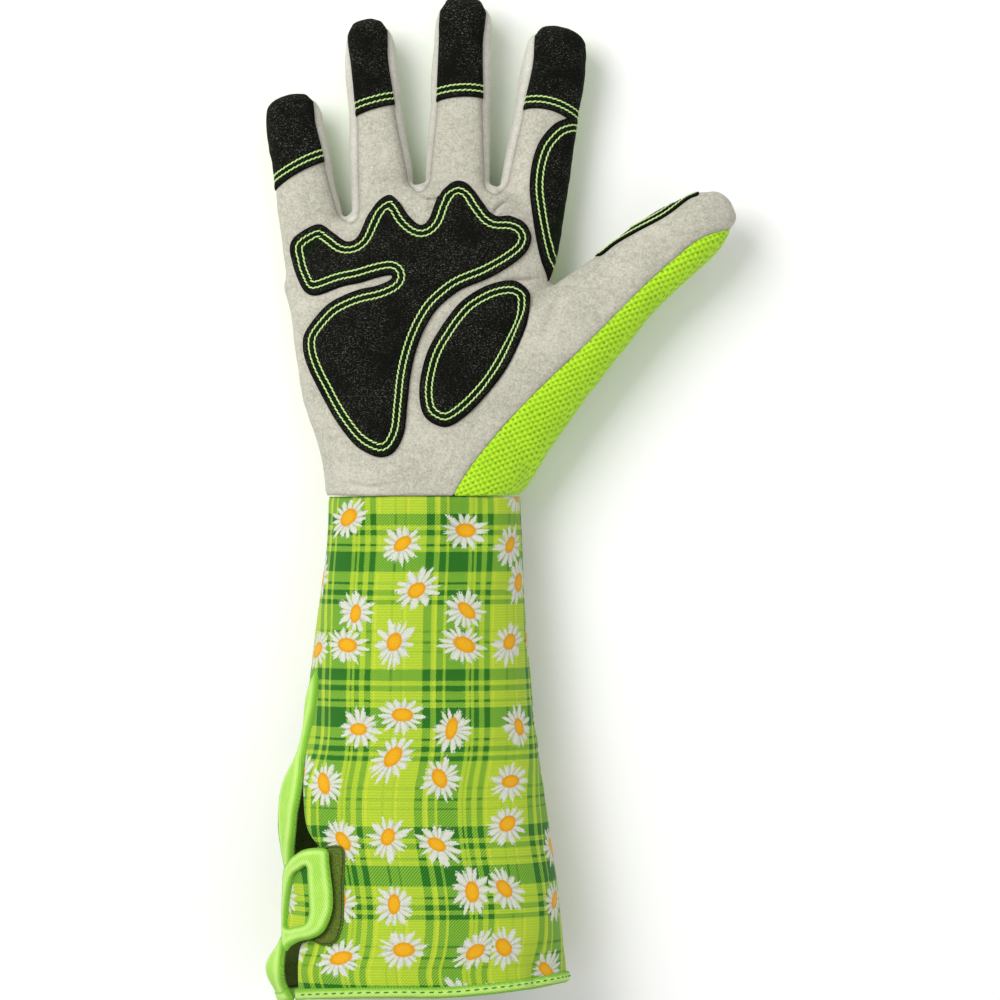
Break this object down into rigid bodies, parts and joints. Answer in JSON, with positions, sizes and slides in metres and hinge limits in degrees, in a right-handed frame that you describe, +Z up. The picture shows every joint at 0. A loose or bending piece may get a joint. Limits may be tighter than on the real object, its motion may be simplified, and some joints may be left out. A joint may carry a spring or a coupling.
{
  "type": "rose pruning gauntlet",
  "caption": "Right-hand gardening gauntlet with a padded leather palm, mesh back and long printed cuff with a slit and closing tab.",
  "frame": {"origin": "middle of the outline, on the surface that the gauntlet lies on", "axes": "+Y from the cuff's mouth towards the fingertips, +Z up out of the palm, +X towards the thumb"},
  "size_m": [0.197, 0.421, 0.0764],
  "materials": {
    "grey_suede": "matt suede, pale grey",
    "pale_suede": "matt suede, lighter grey",
    "black_leather": "grained, low sheen, with two rows of light green stitches",
    "lime_mesh": "knitted, dimpled",
    "lime_tape": "smooth woven binding with stitches",
    "printed_cloth": "fine twill, printed with a green plaid and scattered daisies",
    "hook_loop": "short dense pile"
  },
  "bodies": {
    "root": {"palm_panel": "grey_suede", "back_panel": "lime_mesh", "sidewall_pinky_ring": "pale_suede", "sidewall_ring_middle": "pale_suede", "sidewall_middle_index": "pale_suede", "cap_pinky": "black_leather", "cap_ring": "black_leather", "cap_middle": "black_leather", "cap_index": "black_leather", "palm_patch": "black_leather", "thumb_pad": "black_leather", "index_side_patch": "black_leather", "thumb_patch": "black_leather", "cuff_front_panel": "printed_cloth", "cuff_back_panel": "printed_cloth", "slit_binding": "lime_tape", "hem_binding": "lime_tape", "strap_panel": "printed_cloth", "strap_binding": "lime_tape", "hook_loop_patch": "hook_loop"}
  },
  "joints": []
}
